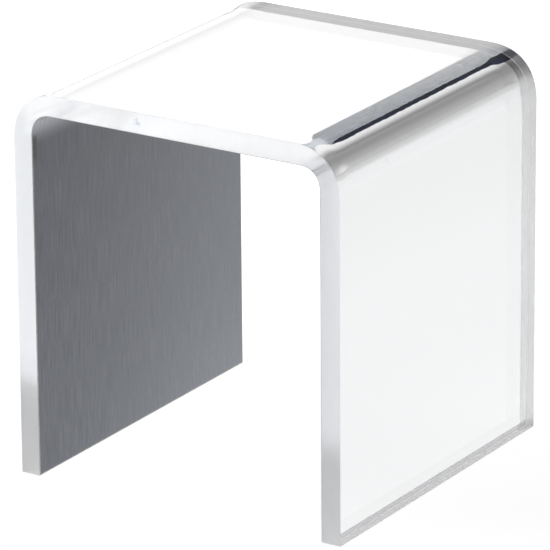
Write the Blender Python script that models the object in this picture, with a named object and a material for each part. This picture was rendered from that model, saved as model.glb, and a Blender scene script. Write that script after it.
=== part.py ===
"""Open display stand, bent from one sheet of mirror-backed clear acrylic.

The sheet is cut to a rectangle and softened along two straight lines, and each line is
bent through a right angle. That leaves an upturned U: a flat top on two straight legs,
open at the front, at the back and underneath.

The sheet is a stack of three layers. Clear acrylic is outside, a bright metal film lies
behind it, and an opaque coat on the inside protects the film. All three layers turn about
the same two bend lines.

Frame: metres, +Z up, with the origin on the ground at the middle of the footprint. The
bend lines run along Y, so the open ends face -Y, the front, and +Y, the back.
"""

import math

import bmesh
import bpy
from mathutils import Vector

# The finished stand
STAND_WIDTH = 0.102  # along X, over the outer faces of the legs
STAND_DEPTH = 0.102  # along Y, the width of the sheet
STAND_HEIGHT = 0.1095  # along Z, from the ground to the display face
BEND_RADIUS = 0.012  # of the outer face
BEND_ANGLE = math.radians(90)
BEND_STEPS = 20  # flats that each bend is divided into

# The layers of the sheet, from the outer face inwards
ACRYLIC_THICKNESS = 0.005
LAYER_GAP = 0.0003  # clearance from each layer to the next
FILM_THICKNESS = 0.0001
COAT_THICKNESS = 0.0002

# The cut edges
EDGE_BREAK = 0.0003  # width of the small flat that takes the sharpness off
LAYER_SETBACK = 0.0003  # film and coat stop this far short of the cut edges
SHARP_ANGLE = math.radians(30)  # creases steeper than this stay sharp

# Where the bend lines are, shared by every layer
BEND_X = STAND_WIDTH / 2 - BEND_RADIUS
BEND_Z = STAND_HEIGHT - BEND_RADIUS
BEND_AXIS = Vector((0, 1, 0))


def clear_scene():
    """Remove every object of the open scene."""
    for thing in list(bpy.data.objects):
        bpy.data.objects.remove(thing, do_unlink=True)


def plain_material(name, color, roughness, metallic=0.0):
    """A Principled material of one colour."""
    material = bpy.data.materials.new(name)
    material.use_nodes = True
    shader = material.node_tree.nodes["Principled BSDF"]
    shader.inputs["Base Color"].default_value = (*color, 1.0)
    shader.inputs["Roughness"].default_value = roughness
    shader.inputs["Metallic"].default_value = metallic
    return material


def foot_face(mesh, depth, thickness, setback):
    """The end face of the left leg, flat on the ground or a setback above it."""
    outer_x = -STAND_WIDTH / 2 + depth
    inner_x = outer_x + thickness
    half_depth = STAND_DEPTH / 2 - setback
    corners = (
        (outer_x, -half_depth),
        (outer_x, half_depth),
        (inner_x, half_depth),
        (inner_x, -half_depth),
    )
    return mesh.faces.new([mesh.verts.new((x, y, setback)) for x, y in corners])


def run_straight(mesh, section, travel):
    """Extrude the sheet's end face along travel, and return the new end face."""
    extruded = bmesh.ops.extrude_face_region(mesh, geom=[section])["geom"]
    corners = [item for item in extruded if isinstance(item, bmesh.types.BMVert)]
    bmesh.ops.translate(mesh, verts=corners, vec=travel)
    return next(item for item in extruded if isinstance(item, bmesh.types.BMFace))


def run_bend(mesh, section, bend_x):
    """Spin the sheet's end face about a bend line, and return the new end face."""
    turned = bmesh.ops.spin(
        mesh,
        geom=[section],
        cent=(bend_x, 0, BEND_Z),
        axis=BEND_AXIS,
        angle=BEND_ANGLE,
        steps=BEND_STEPS,
    )["geom_last"]
    return next(item for item in turned if isinstance(item, bmesh.types.BMFace))


def bent_layer(name, depth, thickness, setback, material):
    """One layer of the sheet, taken up one leg, over the top and down the other.

    depth is how far the layer's outer face lies below the outer face of the sheet.
    setback is how far the layer stops short of the cut edges.
    """
    leg = Vector((0, 0, BEND_Z - setback))
    top = Vector((2 * BEND_X, 0, 0))
    mesh = bmesh.new()
    foot = foot_face(mesh, depth, thickness, setback)
    leg_top = run_straight(mesh, foot, leg)
    top_left = run_bend(mesh, leg_top, -BEND_X)
    top_right = run_straight(mesh, top_left, top)
    leg_start = run_bend(mesh, top_right, BEND_X)
    run_straight(mesh, leg_start, -leg)
    inside = [leg_top, top_left, top_right, leg_start]
    bmesh.ops.delete(mesh, geom=inside, context="FACES_ONLY")
    bmesh.ops.recalc_face_normals(mesh, faces=mesh.faces)

    data = bpy.data.meshes.new(name)
    mesh.to_mesh(data)
    mesh.free()
    data.shade_smooth()
    data.set_sharp_from_angle(angle=SHARP_ANGLE)
    data.materials.append(material)
    layer = bpy.data.objects.new(name, data)
    bpy.context.collection.objects.link(layer)
    return layer


def break_edges(layer):
    """Take the sharpness off the layer's cut edges, and leave its bends alone."""
    bevel = layer.modifiers.new("broken_edges", "BEVEL")
    bevel.width = EDGE_BREAK
    bevel.segments = 1
    bevel.limit_method = "ANGLE"
    bevel.angle_limit = SHARP_ANGLE


def make_acrylic_sheet():
    """The clear sheet, which carries the load and stands on the ground."""
    clear = plain_material("clear_acrylic", (0.90, 0.92, 0.93), roughness=0.04)
    sheet = bent_layer("acrylic_sheet", 0, ACRYLIC_THICKNESS, 0, clear)
    break_edges(sheet)
    return sheet


def make_mirror_film():
    """The metal film on the inner face of the clear sheet."""
    depth = ACRYLIC_THICKNESS + LAYER_GAP
    silver = plain_material("mirror_metal", (0.88, 0.89, 0.90), roughness=0.03, metallic=1.0)
    return bent_layer("mirror_film", depth, FILM_THICKNESS, LAYER_SETBACK, silver)


def make_backing_coat():
    """The opaque grey coat, the inner face of the stand."""
    depth = ACRYLIC_THICKNESS + FILM_THICKNESS + 2 * LAYER_GAP
    grey = plain_material("grey_coat", (0.17, 0.18, 0.20), roughness=0.6)
    return bent_layer("backing_coat", depth, COAT_THICKNESS, LAYER_SETBACK, grey)


def main():
    clear_scene()
    make_acrylic_sheet()
    make_mirror_film()
    make_backing_coat()


main()
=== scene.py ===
# %% [markdown]
# # A mirror-backed riser, bent from one sheet of acrylic
#
# The real stand is a strip of clear acrylic about 6 mm thick, and three times as long as it
# is wide. Its back carries a bright metal film, and the film carries a grey protective
# paint. The strip is heated along two lines and folded into a bridge, with the mirror on the
# inside of the bends. So nearly all that one sees is light that went into the plastic, met
# the metal and came out again.
# A picture of it can't be painted on: the lesson is to build the sheet as a solid of the
# right thickness, put the metal where it really is, and let the renderer do the rest.

# %% Load the frame
import math

import bmesh
import bpy
import numpy as np
from mathutils import Matrix, Vector


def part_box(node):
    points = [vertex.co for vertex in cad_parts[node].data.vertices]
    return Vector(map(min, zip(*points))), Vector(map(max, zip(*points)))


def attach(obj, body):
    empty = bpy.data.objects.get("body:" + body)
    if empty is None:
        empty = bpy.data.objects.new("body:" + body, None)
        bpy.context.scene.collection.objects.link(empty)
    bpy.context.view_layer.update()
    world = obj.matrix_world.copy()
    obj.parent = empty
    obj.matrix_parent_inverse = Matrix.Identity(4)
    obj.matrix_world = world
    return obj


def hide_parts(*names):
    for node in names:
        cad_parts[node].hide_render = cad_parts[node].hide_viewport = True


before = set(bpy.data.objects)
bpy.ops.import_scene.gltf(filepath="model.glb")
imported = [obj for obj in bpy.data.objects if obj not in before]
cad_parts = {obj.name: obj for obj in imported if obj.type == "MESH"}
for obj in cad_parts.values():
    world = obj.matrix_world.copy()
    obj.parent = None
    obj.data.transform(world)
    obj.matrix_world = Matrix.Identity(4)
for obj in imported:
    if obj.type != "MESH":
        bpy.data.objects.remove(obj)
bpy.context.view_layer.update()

# %% [markdown]
# ## The size of the stand
#
# The three layers already exist as plain solids in the frame. Their boxes give the width,
# depth and height, so no size is typed in twice, and the detailed layers that are built
# here end up exactly where the plain ones are.

# %% Outside sizes
sheet_low, sheet_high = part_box("acrylic_sheet")
WIDTH = sheet_high.x - sheet_low.x
DEPTH = sheet_high.y - sheet_low.y
HEIGHT = sheet_high.z - sheet_low.z
BODY = "root"
print(f"stand: {WIDTH * 1000:.1f} x {DEPTH * 1000:.1f} x {HEIGHT * 1000:.1f} mm")

# %% [markdown]
# ## What lies through the thickness
#
# Depth is counted from the outer face of the acrylic inwards. The metal is bonded to the
# plastic with no air between. That matters: with an air gap, slanting light inside the
# sheet would be turned back by the plastic and never see the metal, and every bounce would
# be free of loss. So the film's mesh sinks a hair's breadth into the acrylic's inner face.
# The paint stands the same small distance behind the film, because two surfaces in exactly
# one place would flicker.

# %% Depths of the layers
STACK_THICKNESS = 0.0059
PAINT_THICKNESS = 0.00012
FILM_THICKNESS = 0.00004
BOND = 0.00002

ACRYLIC_THICKNESS = STACK_THICKNESS - PAINT_THICKNESS - FILM_THICKNESS
FILM_DEPTH = ACRYLIC_THICKNESS - BOND
PAINT_DEPTH = FILM_DEPTH + FILM_THICKNESS + BOND
print(f"film at {FILM_DEPTH * 1000:.2f} mm, paint at {PAINT_DEPTH * 1000:.2f} mm below the outer face")

# %% [markdown]
# ## The shape of a bend
#
# A sheet folded over a hot wire isn't a perfect quarter circle. It starts to curve
# gently, is tightest in the middle and eases out again, which a superellipse describes
# with one number: 2 is a circle, and more than 2 eases the ends. The plastic also stretches
# on the outside of the bend, so it is a little thinner there. And near the two cut edges
# nothing holds the sheet back sideways, so it stays fuller there and the bend is tighter.
# All of this moves the surface by less than a millimetre, and all of it shows in the
# reflections.

# %% Bend profile
OUTER_RADIUS_MIDDLE = 0.0165
OUTER_RADIUS_AT_FRONT = 0.0144
OUTER_RADIUS_AT_BACK = 0.0152
OUTER_EASE = 2.4
INNER_RADIUS_MIDDLE = 0.007
INNER_RADIUS_AT_FRONT = 0.0067
INNER_RADIUS_AT_BACK = 0.0066
INNER_EASE = 2.4
FLARE_WIDTH = 0.0080


def smooth_step(t):
    """Goes from 0 to 1 with a soft start and a soft stop."""
    t = min(max(t, 0.0), 1.0)
    return t * t * (3.0 - 2.0 * t)


def bend_radius(y, middle, at_front, at_back):
    """The bend's radius at a place across the stand's depth."""
    at_edge = at_front if y < 0 else at_back
    from_edge = DEPTH / 2 - abs(y)
    return at_edge + (middle - at_edge) * smooth_step(from_edge / FLARE_WIDTH)


def bend_radius_and_slope(y, radii, step=0.00005):
    """The radius and how fast it changes with y, which tilts the surface a little."""
    ahead = bend_radius(y + step, *radii)
    behind = bend_radius(y - step, *radii)
    return bend_radius(y, *radii), (ahead - behind) / (2 * step)


OUTER_RADII = (OUTER_RADIUS_MIDDLE, OUTER_RADIUS_AT_FRONT, OUTER_RADIUS_AT_BACK)
INNER_RADII = (INNER_RADIUS_MIDDLE, INNER_RADIUS_AT_FRONT, INNER_RADIUS_AT_BACK)
for y in (-DEPTH / 2, 0.0, DEPTH / 2):
    print(f"at y {y * 1000:5.1f} mm the outer bend is {bend_radius(y, *OUTER_RADII) * 1000:.1f} mm")

# %% [markdown]
# ## One formula for both faces
#
# A place on the sheet is named by how far along the fold it is, how far across, and how
# deep. Along the fold three numbers do it: `leg` is 1 at the foot and 0 where the bend
# starts, `turn` goes from 0 to a right angle round the bend, and `top` is 0 at the bend
# and 1 at the middle of the top. The surface normal comes from the same formula. Normals
# worked out this way are much smoother than those guessed from the faces of a mesh, and
# smooth normals are what keeps a reflection straight.


# %% A place on a face
def face_place(leg, turn, top, y, inset, radius, slope, ease, foot):
    """Point and normal on the right half of the outer (inset 0) or the inner face."""
    power = 2.0 / ease
    run_in = 1.0 - math.cos(turn) ** power
    drop = 1.0 - math.sin(turn) ** power
    side, ceiling = WIDTH / 2 - inset, HEIGHT - inset
    x = side - radius * run_in - (side - radius) * top
    z = ceiling - radius * drop - (ceiling - radius - foot) * leg
    across = math.cos(turn) ** (2.0 - power)
    upward = math.sin(turn) ** (2.0 - power)
    tilt = slope * (across * run_in + upward * drop) if 0 < turn < math.pi / 2 else 0.0
    return Vector((x, y, z)), Vector((across, tilt, upward)).normalized()


def sheet_place(station, y, depth, foot):
    """Point and outward normal at a depth, between the two faces."""
    mirror, leg, turn, top = station
    outer, outer_normal = face_place(
        leg, turn, top, y, 0.0, *bend_radius_and_slope(y, OUTER_RADII), OUTER_EASE, foot)
    inner, inner_normal = face_place(
        leg, turn, top, y, STACK_THICKNESS, *bend_radius_and_slope(y, INNER_RADII), INNER_EASE, foot)
    share = depth / STACK_THICKNESS
    point = outer.lerp(inner, share)
    normal = outer_normal.lerp(inner_normal, share).normalized()
    return Vector((mirror * point.x, y, point.z)), Vector((mirror * normal.x, normal.y, normal.z))


middle_of_bend, _ = sheet_place((1, 0.0, math.pi / 4, 0.0), 0.0, 0.0, 0.0)
inside_bend, _ = sheet_place((1, 0.0, math.pi / 4, 0.0), 0.0, STACK_THICKNESS, 0.0)
print(f"thickness in the middle of a bend: {(middle_of_bend - inside_bend).length * 1000:.2f} mm")

# %% [markdown]
# ## Stations along the fold
#
# The sheet is a section swept from the left foot to the right foot. Flat stretches need few
# stations, and the bends need many, because each one turns the reflections. The stations
# of the right half are the mirror image of the left half's, with the middle used once.

# %% Stations
LEG_STATIONS = 16
TURN_STATIONS = 72
TOP_STATIONS = 12


def half_of_stations():
    """Stations from the foot to the middle of the top, as (leg, turn, top)."""
    legs = [(leg, 0.0, 0.0) for leg in np.linspace(1, 0, LEG_STATIONS)]
    turns = [(0.0, turn, 0.0) for turn in np.linspace(0, math.pi / 2, TURN_STATIONS)[1:]]
    tops = [(0.0, math.pi / 2, top) for top in np.linspace(0, 1, TOP_STATIONS)[1:]]
    return legs + turns + tops


def all_stations():
    half = half_of_stations()
    left = [(-1, *station) for station in half]
    right = [(1, *station) for station in reversed(half[:-1])]
    return left + right


STATIONS = all_stations()
print("stations along the fold:", len(STATIONS))

# %% [markdown]
# ## The section across the depth
#
# Cut across the fold, each layer is a long thin rectangle: about 100 mm by a few millimetres
# or much less. Its corners are broken by a few hundredths of a millimetre, as a scraper
# leaves them. The rectangle is walked round once, and each point keeps the direction it
# faces, so that the sweep can blend the broken corners into the faces. More points stand
# near the cut edges, where the bend flares.

# %% Section ring
CORNER_BREAK = 0.00006
POINTS_ACROSS = 49


def section_ring(near, far, half_width, corner, across_steps, corner_steps):
    """Points round the section, as (depth, y, facing depth, facing y)."""
    spread = [math.sin(angle) for angle in np.linspace(-math.pi / 2, math.pi / 2, POINTS_ACROSS)]
    flat = half_width - corner
    ring = []

    def add_corner(depth, y, start):
        for angle in np.radians(np.linspace(start, start + 90, corner_steps + 1)):
            faces_depth, faces_y = math.cos(angle), math.sin(angle)
            ring.append((depth + corner * faces_depth, y + corner * faces_y, faces_depth, faces_y))

    def add_cut_edge(start, stop, y, faces_y):
        for depth in np.linspace(start, stop, across_steps + 1)[1:-1]:
            ring.append((depth, y, 0.0, faces_y))

    add_corner(near + corner, -flat, 180)
    add_cut_edge(near + corner, far - corner, -half_width, -1.0)
    add_corner(far - corner, -flat, 270)
    ring.extend((far, flat * share, 1.0, 0.0) for share in spread[1:-1])
    add_corner(far - corner, flat, 0)
    add_cut_edge(far - corner, near + corner, half_width, 1.0)
    add_corner(near + corner, flat, 90)
    ring.extend((near, flat * share, -1.0, 0.0) for share in reversed(spread[1:-1]))
    return ring


print("points round the acrylic's section:",
      len(section_ring(0.0, ACRYLIC_THICKNESS, DEPTH / 2, CORNER_BREAK, across_steps=6, corner_steps=3)))

# %% [markdown]
# ## Sweeping a layer
#
# The ring is placed at every station and joined to the one before. Two caps close the feet.
# The faces get the index of one of three materials: the broad faces the first, the sawn
# edges the second and the feet the third. Each corner of a face also gets a pair of
# coordinates in metres, how far across the stand and how far along the fold, which the
# streaks and worn edges in the materials follow. Making a mesh from code is what keeps the
# three layers parallel to a hundredth of a millimetre. An extruded outline with a Bevel
# would look alike from afar, but its layers would drift apart in the bends.

# %% Sweep
PLACE_MAP = "across_and_along"
BROAD, SAWN, FOOT = range(3)
SQUARE_ON = 0.99


def path_lengths(foot):
    """Distance along the fold of each station, from the left foot."""
    points = [sheet_place(station, 0.0, STACK_THICKNESS, foot)[0] for station in STATIONS]
    steps = [(b - a).length for a, b in zip(points, points[1:])]
    return [0.0, *np.cumsum(steps)]


def sweep_layer(name, near, far, setback, corner, across_steps, corner_steps):
    """One layer of the stack as a closed mesh, with its own smooth normals."""
    ring = section_ring(near, far, DEPTH / 2 - setback, corner, across_steps, corner_steps)
    count = len(ring)
    lengths = path_lengths(setback)
    mesh_builder = bmesh.new()
    place_layer = mesh_builder.loops.layers.uv.new(PLACE_MAP)
    rows, normals, places = [], [], []
    for station, along in zip(STATIONS, lengths):
        row = []
        for depth, y, faces_depth, faces_y in ring:
            point, outward = sheet_place(station, y, depth, setback)
            row.append(mesh_builder.verts.new(point))
            normals.append((Vector((0.0, faces_y, 0.0)) - outward * faces_depth).normalized())
            places.append((y, along))
        rows.append(row)
    mesh_builder.verts.index_update()
    for row, next_row in zip(rows, rows[1:]):
        for k in range(count):
            after = (k + 1) % count
            face = mesh_builder.faces.new((row[k], row[after], next_row[after], next_row[k]))
            broad = abs(ring[k][2]) > SQUARE_ON and abs(ring[after][2]) > SQUARE_ON
            face.material_index = BROAD if broad else SAWN
            face.smooth = True
    for row in (rows[0], rows[-1]):
        cap = mesh_builder.faces.new(row)
        cap.material_index = FOOT
    bmesh.ops.recalc_face_normals(mesh_builder, faces=mesh_builder.faces)
    for face in mesh_builder.faces:
        for loop in face.loops:
            loop[place_layer].uv = places[loop.vert.index]
    mesh = bpy.data.meshes.new(name)
    mesh_builder.to_mesh(mesh)
    mesh_builder.free()
    corner_normals = [
        normals[mesh.loops[index].vertex_index] if face.use_smooth else face.normal.copy()
        for face in mesh.polygons for index in face.loop_indices
    ]
    mesh.normals_split_custom_set(corner_normals)
    piece = bpy.data.objects.new(name, mesh)
    bpy.context.scene.collection.objects.link(piece)
    print(f"{name}: {len(mesh.vertices)} points, {len(mesh.polygons)} faces")
    return piece


FOLD_LENGTH = path_lengths(0.0)[-1]
print(f"from foot to foot along the inner face: {FOLD_LENGTH * 1000:.1f} mm")

# %% [markdown]
# ## The three layers
#
# The acrylic is the only one with any body. The film and the paint reach a little less
# far than the acrylic's broken corners, as they do on a real cut sheet, where the saw
# chips the last few hundredths of a millimetre away.

# %% Pieces
FILM_SETBACK = 0.00006
FILM_CORNER = 0.00001
PAINT_SETBACK = 0.00008
PAINT_CORNER = 0.00003

clear_sheet = sweep_layer(
    "clear_sheet", 0.0, ACRYLIC_THICKNESS,
    setback=0.0, corner=CORNER_BREAK, across_steps=6, corner_steps=3)
silver_film = sweep_layer(
    "silver_film", FILM_DEPTH, FILM_DEPTH + FILM_THICKNESS,
    setback=FILM_SETBACK, corner=FILM_CORNER, across_steps=2, corner_steps=1)
grey_backing = sweep_layer(
    "grey_backing", PAINT_DEPTH, PAINT_DEPTH + PAINT_THICKNESS,
    setback=PAINT_SETBACK, corner=PAINT_CORNER, across_steps=2, corner_steps=2)

# %% [markdown]
# ## Helpers for shader nodes
#
# The finishes are built from nodes, and most of the work is linking them. These short
# helpers keep the recipes below readable: one adds a node with its inputs filled in, two
# do sums and distances, two blend softly between two values, and two make and use groups.
# A noise texture runs from 0 to 1, but it hardly ever leaves the stretch from 0.3 to 0.7,
# so that stretch is the one that gets spread over the values wanted.

# %% Helpers for shader nodes
NOISE_LOW = 0.3
NOISE_HIGH = 0.7


def add_node(tree, kind, settings=None, **inputs):
    """Adds a node. Inputs are numbers, vectors or sockets, by name, or by place as i0, i1."""
    node = tree.nodes.new(kind)
    for name, value in (settings or {}).items():
        setattr(node, name, value)
    for name, value in inputs.items():
        by_place = name[0] == "i" and name[1:].isdigit()
        socket = node.inputs[int(name[1:]) if by_place else name.replace("_", " ")]
        if isinstance(value, bpy.types.NodeSocket):
            tree.links.new(value, socket)
        else:
            socket.default_value = value
    return node


def sum_of(tree, first, second, operation="ADD"):
    """Adds two values, or does another sum with them."""
    return add_node(tree, "ShaderNodeMath", {"operation": operation}, i0=first, i1=second).outputs[0]


def distance_from(tree, place, middle):
    """How far a place is from a fixed point, in metres."""
    node = add_node(tree, "ShaderNodeVectorMath", {"operation": "DISTANCE"}, i0=place, i1=middle)
    return node.outputs["Value"]


def ramp(tree, value, start, stop, low=0.0, high=1.0):
    """Turns a value between start and stop into one between low and high, softly."""
    node = add_node(
        tree, "ShaderNodeMapRange", {"interpolation_type": "SMOOTHSTEP"},
        Value=value, From_Min=start, From_Max=stop, To_Min=low, To_Max=high)
    return node.outputs["Result"]


def spread_noise(tree, noise, low, high):
    """Turns a noise into values between low and high."""
    return ramp(tree, noise, NOISE_LOW, NOISE_HIGH, low, high)


def new_group(name, inputs, outputs):
    """An empty node group with named inputs (with defaults) and outputs."""
    group = bpy.data.node_groups.new(name, "ShaderNodeTree")
    for label, default in inputs.items():
        kind = "NodeSocketVector" if label == "Place" else "NodeSocketFloat"
        socket = group.interface.new_socket(name=label, in_out="INPUT", socket_type=kind)
        if default is not None:
            socket.default_value = default
    for label in outputs:
        group.interface.new_socket(name=label, in_out="OUTPUT", socket_type="NodeSocketFloat")
    start = group.nodes.new("NodeGroupInput")
    finish = group.nodes.new("NodeGroupOutput")
    return group, start.outputs, finish.inputs


def use_group(tree, group, **inputs):
    """Places a group in a material with its own values, and gives its outputs."""
    node = add_node(tree, "ShaderNodeGroup", {"node_tree": group}, **inputs)
    return node.outputs


# %% [markdown]
# ## Fine streaks
#
# Rollers, saws and polishing wheels all leave the same kind of mark: thin lines that run
# one way, each a few millimetres long. Noise that is squeezed across and stretched along
# gives that. One group serves the rolled paint, the polished edges and the sawn feet, with
# its own spacing and length for each.

# %% Group: streaks
SOFT_START = 0.34
SHARP_START = 0.66


def build_streaks():
    group, given, result = new_group(
        "fine_streaks",
        {"Place": None, "Spacing": 0.001, "Length": 0.01, "Sharpness": 0.5},
        ["Mask", "Height"])
    spacing = sum_of(group, 1.0, given["Spacing"], "DIVIDE")
    length = sum_of(group, 1.0, given["Length"], "DIVIDE")
    stretch = add_node(group, "ShaderNodeCombineXYZ", X=spacing, Y=length, Z=length)
    squeezed = add_node(
        group, "ShaderNodeVectorMath", {"operation": "MULTIPLY"},
        i0=given["Place"], i1=stretch.outputs[0])
    noise = add_node(
        group, "ShaderNodeTexNoise", Vector=squeezed.outputs[0],
        Scale=1.0, Detail=3.0, Roughness=0.6)
    later = sum_of(group, SHARP_START - SOFT_START, given["Sharpness"], "MULTIPLY")
    start = sum_of(group, SOFT_START, later)
    line = add_node(
        group, "ShaderNodeMapRange", Value=noise.outputs["Fac"],
        From_Min=start, From_Max=NOISE_HIGH, To_Min=0.0, To_Max=1.0)
    group.links.new(line.outputs[0], result["Mask"])
    group.links.new(noise.outputs["Fac"], result["Height"])
    return group


fine_streaks = build_streaks()
print("group:", fine_streaks.name)

# %% [markdown]
# ## Handling marks
#
# Clear plastic never stays perfect. It has hairline scuffs from wiping, in loose arcs, and
# specks of dust, which stand as tiny matt dots. The scuffs are the thin walls between the
# cells of a warped Voronoi texture, broken up by noise. The dust is the small core of some
# of the cells of another one.

# %% Group: scuffs and dust
SCUFF_WARP = 0.012
CLEAN_SHARE = 0.75


def build_handling_marks():
    group, given, result = new_group(
        "handling_marks",
        {"Place": None, "Scuff size": 0.02, "Scuff width": 0.01, "Dust spacing": 0.004,
         "Dust size": 0.05},
        ["Scuffs", "Dust"])
    warp = add_node(group, "ShaderNodeTexNoise", Vector=given["Place"], Scale=40.0, Detail=2.0)
    bent = add_node(
        group, "ShaderNodeVectorMath", {"operation": "MULTIPLY_ADD"},
        i0=warp.outputs["Color"], i1=(SCUFF_WARP,) * 3, i2=given["Place"])
    per_metre = sum_of(group, 1.0, given["Scuff size"], "DIVIDE")
    walls = add_node(
        group, "ShaderNodeTexVoronoi", {"feature": "DISTANCE_TO_EDGE"},
        Vector=bent.outputs[0], Scale=per_metre)
    hairline = sum_of(group, walls.outputs["Distance"], given["Scuff width"], "LESS_THAN")
    patches = add_node(group, "ShaderNodeTexNoise", Vector=given["Place"], Scale=150.0, Detail=4.0)
    broken = ramp(group, patches.outputs["Fac"], 0.5, 0.62)
    group.links.new(sum_of(group, hairline, broken, "MULTIPLY"), result["Scuffs"])
    per_metre = sum_of(group, 1.0, given["Dust spacing"], "DIVIDE")
    cells = add_node(group, "ShaderNodeTexVoronoi", Vector=given["Place"], Scale=per_metre)
    speck = sum_of(group, cells.outputs["Distance"], given["Dust size"], "LESS_THAN")
    some = add_node(group, "ShaderNodeSeparateColor", Color=cells.outputs["Color"])
    kept = sum_of(group, some.outputs["Red"], CLEAN_SHARE, "GREATER_THAN")
    group.links.new(sum_of(group, speck, kept, "MULTIPLY"), result["Dust"])
    return group


handling_marks = build_handling_marks()
print("group:", handling_marks.name)

# %% [markdown]
# ## Worn rims
#
# Paint and film are thinnest, and most often chipped, along the sawn rims of the sheet.
# The group measures how near a place is to a rim from the coordinates that the sweep gave
# each face, and makes the line ragged with noise.


# %% Group: worn rims
def build_worn_rims():
    group, given, result = new_group(
        "worn_rims", {"Place": None, "Width": 0.0005, "Raggedness": 0.5}, ["Mask"])
    across = add_node(group, "ShaderNodeSeparateXYZ", Vector=given["Place"])
    reach = sum_of(group, across.outputs["X"], 0.0, "ABSOLUTE")
    from_side = sum_of(group, DEPTH / 2, reach, "SUBTRACT")
    from_start = across.outputs["Y"]
    from_end = sum_of(group, FOLD_LENGTH, from_start, "SUBTRACT")
    nearest = sum_of(group, from_side, sum_of(group, from_start, from_end, "MINIMUM"), "MINIMUM")
    noise = add_node(
        group, "ShaderNodeTexNoise", Vector=given["Place"], Scale=900.0, Detail=4.0, Roughness=0.7)
    offset = sum_of(group, noise.outputs["Fac"], 0.5, "SUBTRACT")
    wobble = sum_of(group, offset, given["Raggedness"], "MULTIPLY")
    in_widths = sum_of(group, nearest, given["Width"], "DIVIDE")
    group.links.new(ramp(group, sum_of(group, in_widths, wobble), 1.0, 0.3), result["Mask"])
    return group


worn_rims = build_worn_rims()
print("group:", worn_rims.name)

# %% [markdown]
# ## Helpers for materials
#
# Every finish starts as one Principled shader. Plain values go straight onto its sockets,
# where other programs can read them, and only what varies over the surface gets nodes.


# %% Helpers for materials
def new_material(name, **values):
    """A material with a Principled shader, whose plain values are set on its own sockets."""
    material = bpy.data.materials.new(name)
    material.use_nodes = True
    shader = material.node_tree.nodes["Principled BSDF"]
    for label, value in values.items():
        shader.inputs[label.replace("_", " ")].default_value = value
    return material, material.node_tree, shader


def mixed_colour(tree, share, first, second):
    """The first colour where the share is 0 and the second where it is 1."""
    node = add_node(tree, "ShaderNodeMix", {"data_type": "RGBA"}, Factor=share)
    for socket, value in ((node.inputs[6], first), (node.inputs[7], second)):
        if isinstance(value, bpy.types.NodeSocket):
            tree.links.new(value, socket)
        else:
            socket.default_value = (*value, 1.0)
    return node.outputs[2]


def place_along_sheet(tree):
    """Metres across the stand and along the fold, as the sweep wrote them."""
    return add_node(tree, "ShaderNodeUVMap", {"uv_map": PLACE_MAP}).outputs["UV"]


# %% [markdown]
# ## Clear acrylic
#
# Cast acrylic is clearer than window glass and bends light by 1.49. Its broad faces come
# from the mould and are perfectly smooth, so the roughness is zero but for the scuffs and
# the specks of dust, and the dust also takes a little of the light. The plastic itself takes
# about three percent on the way in and out again, evenly over the colours.

# %% Acrylic faces
ACRYLIC_IOR = 1.49
ACRYLIC_COLOUR = (0.972, 0.972, 0.972)
DUST_COLOUR = (0.8, 0.8, 0.79)
MARK_ROUGHNESS = 0.16


def make_acrylic():
    material, tree, shader = new_material(
        "clear_acrylic", Transmission_Weight=1.0, IOR=ACRYLIC_IOR, Metallic=0.0)
    marks = use_group(
        tree, handling_marks, Place=place_along_sheet(tree),
        Scuff_size=0.018, Scuff_width=0.0035, Dust_spacing=0.004, Dust_size=0.035)
    marked = sum_of(tree, marks["Scuffs"], marks["Dust"], "MAXIMUM")
    tree.links.new(sum_of(tree, marked, MARK_ROUGHNESS, "MULTIPLY"), shader.inputs["Roughness"])
    colour = mixed_colour(tree, marks["Dust"], ACRYLIC_COLOUR, DUST_COLOUR)
    tree.links.new(colour, shader.inputs["Base Color"])
    return material


clear_acrylic = make_acrylic()
print("material:", clear_acrylic.name)

# %% [markdown]
# ## Polished sawn edge
#
# The edges were sawn and then buffed, so they are clear but not perfect: light goes
# through them a little scattered, which is why they look milky and soft where the faces
# look sharp. Roughness does the scattering, and streaks across the edge stand for what is
# left of the saw marks. A blot of dried polish sits in the front edge.

# %% Acrylic edges
EDGE_ROUGHNESS = (0.275, 0.29)
EDGE_CLEAR = (0.975, 0.98, 0.99)
EDGE_MILKY = (0.94, 0.948, 0.965)
SMUDGE_PLACE = (-0.0112, -DEPTH / 2, HEIGHT - 0.0027)
SMUDGE_RADIUS = 0.0014
SMUDGE_RAGGEDNESS = 0.0006
SMUDGE_COLOUR = (0.42, 0.50, 0.66)


def smudge_mask(tree, place):
    """A small blot of polish left in the front edge, a little left of the middle."""
    from_blot = distance_from(tree, place, SMUDGE_PLACE)
    noise = add_node(tree, "ShaderNodeTexNoise", Vector=place, Scale=900.0, Detail=2.0)
    wobble = spread_noise(tree, noise.outputs["Fac"], -SMUDGE_RAGGEDNESS, SMUDGE_RAGGEDNESS)
    return ramp(tree, sum_of(tree, from_blot, wobble), SMUDGE_RADIUS, 0.0)


def make_sawn_edge():
    material, tree, shader = new_material(
        "sawn_acrylic_edge", Transmission_Weight=0.88, IOR=ACRYLIC_IOR, Metallic=0.0)
    place = add_node(tree, "ShaderNodeTexCoord").outputs["Object"]
    streaks = use_group(tree, fine_streaks, Place=place, Spacing=0.002, Length=0.006, Sharpness=0.2)
    tree.links.new(spread_noise(tree, streaks["Height"], *EDGE_ROUGHNESS), shader.inputs["Roughness"])
    bump = add_node(
        tree, "ShaderNodeBump", Strength=0.02, Distance=0.0001, Height=streaks["Height"])
    tree.links.new(bump.outputs[0], shader.inputs["Normal"])
    colour = mixed_colour(tree, streaks["Mask"], EDGE_CLEAR, EDGE_MILKY)
    colour = mixed_colour(tree, smudge_mask(tree, place), colour, SMUDGE_COLOUR)
    tree.links.new(colour, shader.inputs["Base Color"])
    return material


sawn_edge = make_sawn_edge()
print("material:", sawn_edge.name)

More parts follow.
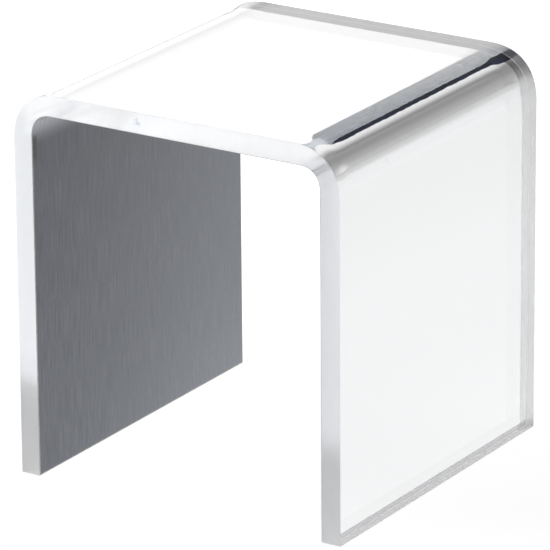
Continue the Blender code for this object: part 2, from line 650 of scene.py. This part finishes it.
# %% [markdown]
# ## Sawn feet
#
# The two feet stand on the table and were never buffed, so the saw's frosting is still on
# them. Light inside the sheet that reaches a foot is scattered instead of being turned
# back, and the foot glows with the colour of the table.

# %% Acrylic feet
FOOT_ROUGHNESS = (0.7, 0.9)
FOOT_CLEAR = (0.99, 0.99, 1.0)
FOOT_MILKY = (0.94, 0.95, 0.96)


def make_sawn_foot():
    material, tree, shader = new_material(
        "sawn_acrylic_foot", Transmission_Weight=1.0, IOR=ACRYLIC_IOR, Metallic=0.0)
    place = add_node(tree, "ShaderNodeTexCoord").outputs["Object"]
    streaks = use_group(tree, fine_streaks, Place=place, Spacing=0.006, Length=0.0008, Sharpness=0.2)
    tree.links.new(spread_noise(tree, streaks["Height"], *FOOT_ROUGHNESS), shader.inputs["Roughness"])
    bump = add_node(
        tree, "ShaderNodeBump", Strength=0.05, Distance=0.0001, Height=streaks["Height"])
    tree.links.new(bump.outputs[0], shader.inputs["Normal"])
    colour = mixed_colour(tree, streaks["Mask"], FOOT_CLEAR, FOOT_MILKY)
    tree.links.new(colour, shader.inputs["Base Color"])
    return material


sawn_foot = make_sawn_foot()
print("material:", sawn_foot.name)

# %% [markdown]
# ## Mirror film
#
# The film is vaporised aluminium, a few hundred atoms thick, so it copies the plastic's
# smooth back. It gives back about 95 percent of the light, and slightly more of the blue
# than of the red. One bounce hides that. The dozen bounces of light caught in a bend show
# it as a cool grey.
#
# Just where the right-hand bend starts, the film's colour carries a painted shade: one dark,
# bluish hairline that follows the bend, where light caught in the bend comes out dim. It
# wanders a little, fades out before the front edge and spreads near the back edge. A mask
# made from the distance to that line gives it.

# %% Metal
MIRROR_COLOUR = (0.943, 0.949, 0.956)
RIM_COLOUR = (0.80, 0.79, 0.77)
RIM_ROUGHNESS = 0.25

# painted shade: a dark bluish hairline in the film just inside the right-hand bend
SHADE_LINE_COLOUR = (0.006, 0.012, 0.040)
SHADE_LINE_INTO_BEND = 0.0018
SHADE_LINE_HALF_WIDTH = 0.00057
SHADE_LINE_WOBBLE = 0.0002
SHADE_LINE_START = (-0.041, -0.034)    # across the stand, where it begins and where it is full
SHADE_LINE_SPREAD = (0.041, 0.045)     # across the stand, where it widens and where it is widest
SHADE_LINE_WIDEST = 2.4                # times its usual width
SHADE_LINE_BLUR = (-0.00004, 0.00006)


def painted_shade_line(tree, place):
    """Mask of the painted shade, a dark hairline just inside the right-hand bend."""
    parts = add_node(tree, "ShaderNodeSeparateXYZ", Vector=place).outputs
    flat = WIDTH / 2 - STACK_THICKNESS - INNER_RADIUS_MIDDLE
    line_at = FOLD_LENGTH / 2 + flat + SHADE_LINE_INTO_BEND
    noise = add_node(tree, "ShaderNodeTexNoise", Vector=place, Scale=350.0, Detail=4.0)
    wobble = ramp(tree, noise.outputs["Fac"], 0.0, 1.0, -SHADE_LINE_WOBBLE, SHADE_LINE_WOBBLE)
    into_bend = sum_of(tree, sum_of(tree, parts["Y"], line_at, "SUBTRACT"), wobble)
    off_line = sum_of(tree, into_bend, 0.0, "ABSOLUTE")
    wider = ramp(tree, parts["X"], *SHADE_LINE_SPREAD, 1.0, SHADE_LINE_WIDEST)
    begins = ramp(tree, parts["X"], *SHADE_LINE_START)
    reach = sum_of(tree, sum_of(tree, wider, begins, "MULTIPLY"), SHADE_LINE_HALF_WIDTH, "MULTIPLY")
    inside = sum_of(tree, reach, off_line, "SUBTRACT")
    return ramp(tree, inside, *SHADE_LINE_BLUR)


def make_mirror():
    material, tree, shader = new_material("mirror_metal", Metallic=1.0)
    place = place_along_sheet(tree)
    rims = use_group(tree, worn_rims, Place=place, Width=0.0003, Raggedness=1.0)
    tree.links.new(sum_of(tree, rims["Mask"], RIM_ROUGHNESS, "MULTIPLY"), shader.inputs["Roughness"])
    colour = mixed_colour(tree, rims["Mask"], MIRROR_COLOUR, RIM_COLOUR)
    # painted shade: the dark hairline along the right-hand bend
    colour = mixed_colour(tree, painted_shade_line(tree, place), colour, SHADE_LINE_COLOUR)
    tree.links.new(colour, shader.inputs["Base Color"])
    return material


mirror_metal = make_mirror()
print("material:", mirror_metal.name)

# %% [markdown]
# ## Grey backing paint
#
# The paint behind the film is a rolled, satin grey with a blue cast. The roller leaves
# fine streaks along the sheet, lighter where the paint is thick, and a slow cloudiness.
# It carries painted light, paler towards the back edge where more light reaches it, and a
# painted highlight in the hollow of each bend. A painted shade darkens a short strip at the
# front rim just below each bend. Elsewhere on the rims it has worn thin and pale. Places
# along the fold are counted from the middle of the top, so that one mask serves both bends.

# %% Places on the paint
BEND_HIGHLIGHT_MIDDLE = 0.0463
BEND_HIGHLIGHT_REACH = (0.0060, 0.0010)    # from there, where the painted highlight begins and where it is full
RIM_SHADE_STARTS = (0.0485, 0.0505)      # where the painted shade begins and where it is full
RIM_SHADE_STOPS = (0.0580, 0.0550)       # where it has ended and where it is still full
RIM_SHADE_WIDTH = 0.0029


def from_middle_of_top(tree, along):
    """Distance along the fold from the middle of the top, to either side."""
    off_middle = sum_of(tree, along, FOLD_LENGTH / 2, "SUBTRACT")
    return sum_of(tree, off_middle, 0.0, "ABSOLUTE")


def painted_highlight_in_bend(tree, from_middle):
    """Mask of the painted highlight: 1 in the hollow of each bend, fading out on the leg."""
    off_highlight = sum_of(tree, from_middle, BEND_HIGHLIGHT_MIDDLE, "SUBTRACT")
    off_highlight = sum_of(tree, off_highlight, 0.0, "ABSOLUTE")
    return ramp(tree, off_highlight, *BEND_HIGHLIGHT_REACH)


def painted_shade_at_front_rim(tree, from_middle, across):
    """Mask of the painted shade, a dark strip at the front rim just below each bend."""
    started = ramp(tree, from_middle, *RIM_SHADE_STARTS)
    not_over = ramp(tree, from_middle, *RIM_SHADE_STOPS)
    at_rim = ramp(tree, across, RIM_SHADE_WIDTH - DEPTH / 2, RIM_SHADE_WIDTH / 2 - DEPTH / 2)
    return sum_of(tree, sum_of(tree, started, not_over, "MULTIPLY"), at_rim, "MULTIPLY")


# the painted highlight in each bend sits this far along the fold from the middle of the top
print(f"paint pools {BEND_HIGHLIGHT_MIDDLE * 1000:.1f} mm along the fold from the middle of the top")

# %% Paint
PAINT_DARK = (0.083, 0.096, 0.125)
PAINT_LIGHT = (0.165, 0.180, 0.214)
# painted light: the paint paler towards the back edge, where more light reaches it
PAINT_LIT_AT_BACK = (0.27, 0.29, 0.325)
# painted highlight in the hollow of each bend
PAINT_HIGHLIT_IN_BEND = (0.43, 0.45, 0.49)
# painted shade: a dark strip at the front rim just below each bend
PAINT_SHADE_AT_RIM = (0.035, 0.042, 0.055)
PAINT_WORN = (0.52, 0.51, 0.49)
PAINT_ROUGHNESS = (0.34, 0.26)
LIT_AT_BACK_SHARE = 0.45
BEND_HIGHLIGHT_SHARE = 0.9
MARKED_SHARE = 0.2


def make_paint():
    material, tree, shader = new_material("grey_coat", Metallic=0.0, Specular_IOR_Level=0.9)
    place = place_along_sheet(tree)
    streaks = use_group(tree, fine_streaks, Place=place, Spacing=0.00045, Length=0.012, Sharpness=0.2)
    clouds = add_node(tree, "ShaderNodeTexNoise", Vector=place, Scale=60.0, Detail=3.0)
    marks = use_group(
        tree, handling_marks, Place=place,
        Scuff_size=0.03, Scuff_width=0.002, Dust_spacing=0.003, Dust_size=0.04)
    rims = use_group(tree, worn_rims, Place=place, Width=0.0005, Raggedness=1.2)
    cloudy = spread_noise(tree, clouds.outputs["Fac"], 0.8, 1.0)
    streaked = sum_of(tree, streaks["Mask"], cloudy, "MULTIPLY")
    colour = mixed_colour(tree, streaked, PAINT_DARK, PAINT_LIGHT)
    parts = add_node(tree, "ShaderNodeSeparateXYZ", Vector=place).outputs
    # painted light: paler towards the back edge
    painted_light_at_back = ramp(tree, parts["X"], -DEPTH / 2, DEPTH / 2, 0.0, LIT_AT_BACK_SHARE)
    colour = mixed_colour(tree, painted_light_at_back, colour, PAINT_LIT_AT_BACK)
    from_middle = from_middle_of_top(tree, parts["Y"])
    # painted highlight in the hollow of each bend
    painted_bend_highlight = sum_of(tree, painted_highlight_in_bend(tree, from_middle), BEND_HIGHLIGHT_SHARE, "MULTIPLY")
    colour = mixed_colour(tree, painted_bend_highlight, colour, PAINT_HIGHLIT_IN_BEND)
    # painted shade: a dark strip at the front rim just below each bend
    rim_shade = painted_shade_at_front_rim(tree, from_middle, parts["X"])
    colour = mixed_colour(tree, rim_shade, colour, PAINT_SHADE_AT_RIM)
    marked = sum_of(tree, marks["Scuffs"], marks["Dust"], "MAXIMUM")
    worn = sum_of(tree, rims["Mask"], sum_of(tree, marked, MARKED_SHARE, "MULTIPLY"), "MAXIMUM")
    colour = mixed_colour(tree, worn, colour, PAINT_WORN)
    tree.links.new(colour, shader.inputs["Base Color"])
    tree.links.new(spread_noise(tree, streaks["Height"], *PAINT_ROUGHNESS), shader.inputs["Roughness"])
    bump = add_node(tree, "ShaderNodeBump", Strength=0.25, Distance=0.00003, Height=streaks["Height"])
    tree.links.new(bump.outputs[0], shader.inputs["Normal"])
    return material


grey_paint = make_paint()
print("material:", grey_paint.name)

# %% [markdown]
# ## Finishing the pieces
#
# Each piece gets its materials, says which plain solid of the frame it stands for,
# and rides on the stand's only body.

# %% Put the pieces in the frame
FINISHES = (
    (clear_sheet, (clear_acrylic, sawn_edge, sawn_foot), "acrylic_sheet", "clear_acrylic"),
    (silver_film, (mirror_metal,) * 3, "mirror_film", "mirror_metal"),
    (grey_backing, (grey_paint,) * 3, "backing_coat", "grey_coat"),
)
for piece, finishes, node_name, slot_name in FINISHES:
    for finish in finishes:    # in the order of the indices BROAD, SAWN and FOOT
        piece.data.materials.append(finish)
    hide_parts(node_name)
    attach(piece, BODY)
    print(piece.name, "stands for", node_name)

# %% [markdown]
# ## Camera
#
# A long lens from far away, a little above the top and off to the right of the front, so
# that the upright edges stay nearly parallel. The camera's own axes are worked out from
# its azimuth and elevation, and a small roll.

# %% Camera
AZIMUTH = math.radians(32.586)
ELEVATION = math.radians(19.693)
ROLL = math.radians(-0.457)
DISTANCE = 14.071 * WIDTH
AIM_HEIGHT = 0.4936 * WIDTH
SLIDE_LEFT = 0.0111 * WIDTH
SLIDE_UP = 0.0043 * WIDTH
FOCAL_LENGTH = 345.2    # in millimetres, as on a camera's lens
SENSOR_WIDTH = 36


def place_camera():
    towards_camera = Vector((
        math.sin(AZIMUTH) * math.cos(ELEVATION),
        -math.cos(AZIMUTH) * math.cos(ELEVATION),
        math.sin(ELEVATION),
    ))
    level = Vector((math.cos(AZIMUTH), math.sin(AZIMUTH), 0))
    upright = towards_camera.cross(level)
    right = math.cos(ROLL) * level + math.sin(ROLL) * upright
    up = towards_camera.cross(right)
    place = Vector((0, 0, AIM_HEIGHT)) + towards_camera * DISTANCE
    place += up * SLIDE_UP - right * SLIDE_LEFT
    lens = bpy.data.cameras.new("camera")
    lens.lens = FOCAL_LENGTH
    lens.sensor_width = SENSOR_WIDTH
    lens.clip_start = 0.1
    lens.clip_end = 100
    camera = bpy.data.objects.new("camera", lens)
    bpy.context.scene.collection.objects.link(camera)
    turned = Matrix((right, up, towards_camera)).transposed().to_4x4()
    camera.matrix_world = Matrix.Translation(place) @ turned
    bpy.context.scene.camera = camera
    return camera


camera = place_camera()
print("camera at", [round(value, 3) for value in camera.matrix_world.translation])

# %% [markdown]
# ## Floor
#
# A pale sheet of paper, lit so brightly near the stand that it reads as pure white, and
# falling off with distance, as light from a lamp overhead does. The fall-off is worth
# having: the side of the stand is a mirror, and what it shows is this floor. A soft patch
# behind to the left is where the big panel spills its light, and the cut edges pick it up.
# A fainter one in front keeps the paper white beside the right foot. The brightness is given
# as emission, and the paper's own colour is kept dark, so that the room adds little to it.

# %% Floor
FLOOR_REACH = 10.0
FLOOR_LEVEL = -0.0001
PAPER_COLOUR = (0.12, 0.12, 0.12, 1.0)
POOL_CENTRE = (-0.35, 0.10, 0.0)
POOL_STOPS = (
    # distance from the middle of the pool in metres, and how bright the paper is there
    (0.24, 1.40), (0.36, 0.98), (0.46, 0.915), (0.57, 0.865), (0.72, 0.67), (1.3, 0.56), (3.5, 0.46),
)
PATCHES = (
    # middle of the patch, distance where it starts, distance where it is full, strength
    ((-0.50, 0.55, 0.0), 0.50, 0.20, 0.42),
    ((0.12, -0.17, 0.0), 0.18, 0.08, 0.12),
)


def make_floor():
    mesh = bpy.data.meshes.new("floor")
    signs = [(-1, -1), (1, -1), (1, 1), (-1, 1)]
    corners = [(x * FLOOR_REACH, y * FLOOR_REACH, FLOOR_LEVEL) for x, y in signs]
    mesh.from_pydata(corners, [], [range(4)])
    material, tree, shader = new_material(
        "pale_floor", Base_Color=PAPER_COLOUR, Roughness=0.9, Emission_Strength=1.0)
    place = add_node(tree, "ShaderNodeNewGeometry").outputs["Position"]
    distance = distance_from(tree, place, POOL_CENTRE)
    glow = POOL_STOPS[0][1]
    for (start, high), (stop, low) in zip(POOL_STOPS, POOL_STOPS[1:]):
        glow = sum_of(tree, ramp(tree, distance, start, stop, 0.0, low - high), glow)
    for middle, start, full, strength in PATCHES:
        off_patch = distance_from(tree, place, middle)
        glow = sum_of(tree, ramp(tree, off_patch, start, full, 0.0, strength), glow)
    grey = add_node(tree, "ShaderNodeCombineXYZ", X=glow, Y=glow, Z=glow)
    tree.links.new(grey.outputs[0], shader.inputs["Emission Color"])
    mesh.materials.append(material)
    floor = bpy.data.objects.new("floor", mesh)
    bpy.context.scene.collection.objects.link(floor)
    return floor


floor = make_floor()
print("floor:", floor.name)

# %% [markdown]
# ## Studio light
#
# The stand shows whatever surrounds it, so the light is a smooth room rather than a few
# lamps: a big bright panel behind to the left, a narrower one in front to the left, another
# off to the right, a faint glow behind to the right and a soft top light. Each is a round
# lobe, added where a direction points near enough to its middle. Two of the lobes take light
# away, in front and a little above, where the room is darker. The room's tint is a trace
# warmer than white, as the walls are.

# %% World
ROOM_LEVEL = 0.32
ROOM_TINT = (1.0, 0.985, 0.98, 1.0)
LOBES = (
    # middle of the lobe, cosine where it starts, cosine where it is full, strength
    ((-0.75, 0.62, 0.25), 0.68, 1.00, 0.88),
    ((-0.66, -0.70, 0.10), 0.80, 1.00, 0.86),
    ((0.60, 0.80, 0.00), 0.80, 1.00, 0.13),
    ((0.93, 0.37, 0.05), 0.80, 0.98, 0.70),
    ((0.0, 0.0, 1.0), 0.75, 0.95, 0.28),
    ((0.25, -0.90, 0.40), 0.30, 0.90, -0.09),
    ((-0.15, -0.80, 0.58), 0.75, 0.97, -0.16),
)


def make_studio():
    world = bpy.data.worlds.new("studio")
    world.use_nodes = True
    tree = world.node_tree
    background = tree.nodes["Background"]
    direction = add_node(tree, "ShaderNodeTexCoord").outputs["Generated"]
    level = ROOM_LEVEL
    for middle, start, full, strength in LOBES:
        cosine = add_node(
            tree, "ShaderNodeVectorMath", {"operation": "DOT_PRODUCT"},
            i0=direction, i1=Vector(middle).normalized()).outputs["Value"]
        level = sum_of(tree, ramp(tree, cosine, start, full, 0.0, strength), level)
    tree.links.new(level, background.inputs["Strength"])
    background.inputs["Color"].default_value = ROOM_TINT
    bpy.context.scene.world = world
    return world


studio = make_studio()
print("world:", studio.name, "with", len(LOBES), "lobes")

# %% [markdown]
# ## Light that bounces many times
#
# Light caught between the outer face and the metal turns back and forth a dozen times before
# it gets out. The renderer normally gives up after four such turns, and the bends would go
# black, so it is allowed many more. A plain view transform keeps white as white.

# %% Bounces and view
BOUNCES = 48
cycles = bpy.context.scene.cycles
cycles.max_bounces = BOUNCES
cycles.glossy_bounces = BOUNCES
cycles.transmission_bounces = BOUNCES
bpy.context.scene.view_settings.view_transform = "Standard"
print("bounces:", BOUNCES)
